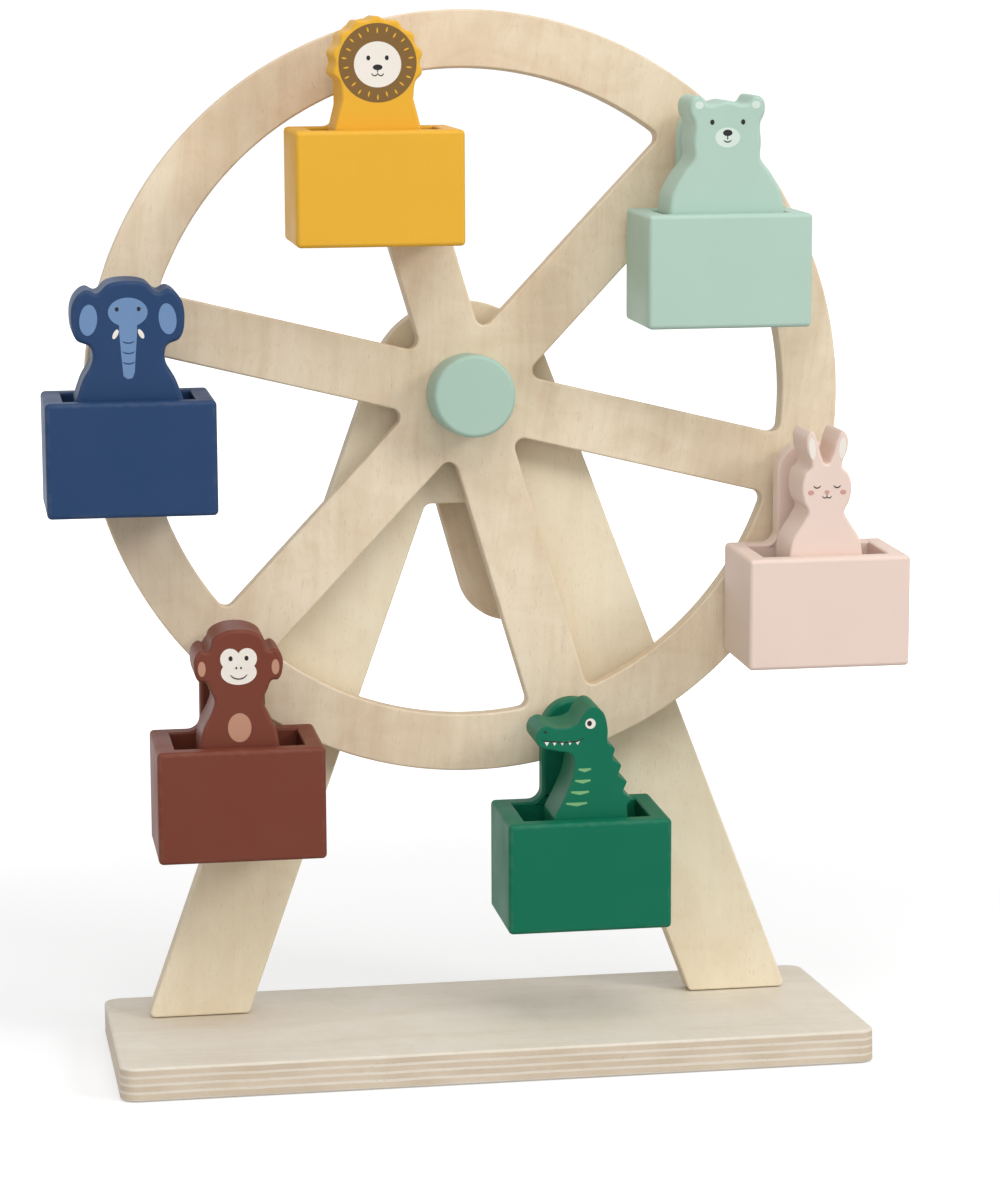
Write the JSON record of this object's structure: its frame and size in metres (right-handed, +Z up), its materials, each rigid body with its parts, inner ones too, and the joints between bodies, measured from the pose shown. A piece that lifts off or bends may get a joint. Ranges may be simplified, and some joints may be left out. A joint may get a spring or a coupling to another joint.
{
  "type": "crank ferris wheel toy",
  "caption": "Free-standing wooden ferris wheel toy: a spoked wheel on an A-shaped stand, turned by a rear crank, with boxes hung on pegs and animal figures that lift out.",
  "frame": {"origin": "centre of the base board's underside, on the surface that the toy stands on", "axes": "+Z up, -Y towards the front where the boxes hang, +X to the right seen from the front"},
  "size_m": [0.3418, 0.1357, 0.4203],
  "materials": {
    "birch_ply": "clear satin lacquer over birch plywood",
    "birch_dowel": "bare turned birch",
    "steel": "zinc-plated steel, satin",
    "pink": "satin paint over wood",
    "mint": "satin paint over wood",
    "yellow": "satin paint over wood",
    "navy": "satin paint over wood",
    "brown": "satin paint over wood",
    "green": "satin paint over wood"
  },
  "bodies": {
    "stand": {"base_board": "birch_ply", "stand_frame": "birch_ply", "base_screw_1": "steel", "base_screw_2": "steel", "base_screw_3": "steel", "base_screw_4": "steel"},
    "wheel": {"wheel_disc": "birch_ply", "hub_cap": "mint", "axle": "birch_dowel", "wheel_spacer": "birch_dowel", "crank_spacer": "birch_dowel", "crank_arm": "birch_ply", "crank_screw": "steel", "knob_bolt": "steel", "peg_pink": "birch_dowel", "peg_spacer_pink": "birch_dowel", "peg_mint": "birch_dowel", "peg_spacer_mint": "birch_dowel", "peg_yellow": "birch_dowel", "peg_spacer_yellow": "birch_dowel", "peg_navy": "birch_dowel", "peg_spacer_navy": "birch_dowel", "peg_brown": "birch_dowel", "peg_spacer_brown": "birch_dowel", "peg_green": "birch_dowel", "peg_spacer_green": "birch_dowel"},
    "knob": {"crank_knob": "mint"},
    "gondola_pink": {"tub_pink": "pink", "hanger_pink": "pink"},
    "rabbit": {"rabbit_figure": "pink"},
    "gondola_mint": {"tub_mint": "mint", "hanger_mint": "mint"},
    "bear": {"bear_figure": "mint"},
    "gondola_yellow": {"tub_yellow": "yellow", "hanger_yellow": "yellow"},
    "lion": {"lion_figure": "yellow"},
    "gondola_navy": {"tub_navy": "navy", "hanger_navy": "navy"},
    "elephant": {"elephant_figure": "navy"},
    "gondola_brown": {"tub_brown": "brown", "hanger_brown": "brown"},
    "monkey": {"monkey_figure": "brown"},
    "gondola_green": {"tub_green": "green", "hanger_green": "green"},
    "crocodile": {"crocodile_figure": "green"}
  },
  "joints": [
    {"name": "wheel_spin", "type": "hinge", "parent": "stand", "child": "wheel", "pos_m": [0, 0.027, 0.2668], "axis": [0, 1, 0], "continuous": true},
    {"name": "knob_spin", "type": "hinge", "parent": "wheel", "child": "knob", "pos_m": [0.02058, 0.0582, 0.19157], "axis": [0, 1, 0], "continuous": true},
    {"name": "hang_pink", "type": "hinge", "parent": "wheel", "child": "gondola_pink", "pos_m": [0.13794, -0.00318, 0.23266], "axis": [0, 1, 0], "continuous": true},
    {"name": "lift_rabbit", "type": "slide", "parent": "gondola_pink", "child": "rabbit", "axis": [0, -0.0715, 0.9974], "range_m": [0, 0.04]},
    {"name": "hang_mint", "type": "hinge", "parent": "wheel", "child": "gondola_mint", "pos_m": [0.09853, -0.00318, 0.36919], "axis": [0, 1, 0], "continuous": true},
    {"name": "lift_bear", "type": "slide", "parent": "gondola_mint", "child": "bear", "axis": [0, -0.0715, 0.9974], "range_m": [0, 0.04]},
    {"name": "hang_yellow", "type": "hinge", "parent": "wheel", "child": "gondola_yellow", "pos_m": [-0.03941, -0.00318, 0.40333], "axis": [0, 1, 0], "continuous": true},
    {"name": "lift_lion", "type": "slide", "parent": "gondola_yellow", "child": "lion", "axis": [0, -0.0715, 0.9974], "range_m": [0, 0.04]},
    {"name": "hang_navy", "type": "hinge", "parent": "wheel", "child": "gondola_navy", "pos_m": [-0.13794, -0.00318, 0.30094], "axis": [0, 1, 0], "continuous": true},
    {"name": "lift_elephant", "type": "slide", "parent": "gondola_navy", "child": "elephant", "axis": [0, -0.0715, 0.9974], "range_m": [0, 0.04]},
    {"name": "hang_brown", "type": "hinge", "parent": "wheel", "child": "gondola_brown", "pos_m": [-0.09853, -0.00318, 0.16441], "axis": [0, 1, 0], "continuous": true},
    {"name": "lift_monkey", "type": "slide", "parent": "gondola_brown", "child": "monkey", "axis": [0, -0.0715, 0.9974], "range_m": [0, 0.04]},
    {"name": "hang_green", "type": "hinge", "parent": "wheel", "child": "gondola_green", "pos_m": [0.03941, -0.00318, 0.13027], "axis": [0, 1, 0], "continuous": true},
    {"name": "lift_crocodile", "type": "slide", "parent": "gondola_green", "child": "crocodile", "axis": [0, -0.0715, 0.9974], "range_m": [0, 0.04]}
  ],
  "couplings": [
    {"joint": "hang_pink", "follows": "wheel_spin", "ratio": -1},
    {"joint": "hang_mint", "follows": "wheel_spin", "ratio": -1},
    {"joint": "hang_yellow", "follows": "wheel_spin", "ratio": -1},
    {"joint": "hang_navy", "follows": "wheel_spin", "ratio": -1},
    {"joint": "hang_brown", "follows": "wheel_spin", "ratio": -1},
    {"joint": "hang_green", "follows": "wheel_spin", "ratio": -1}
  ]
}
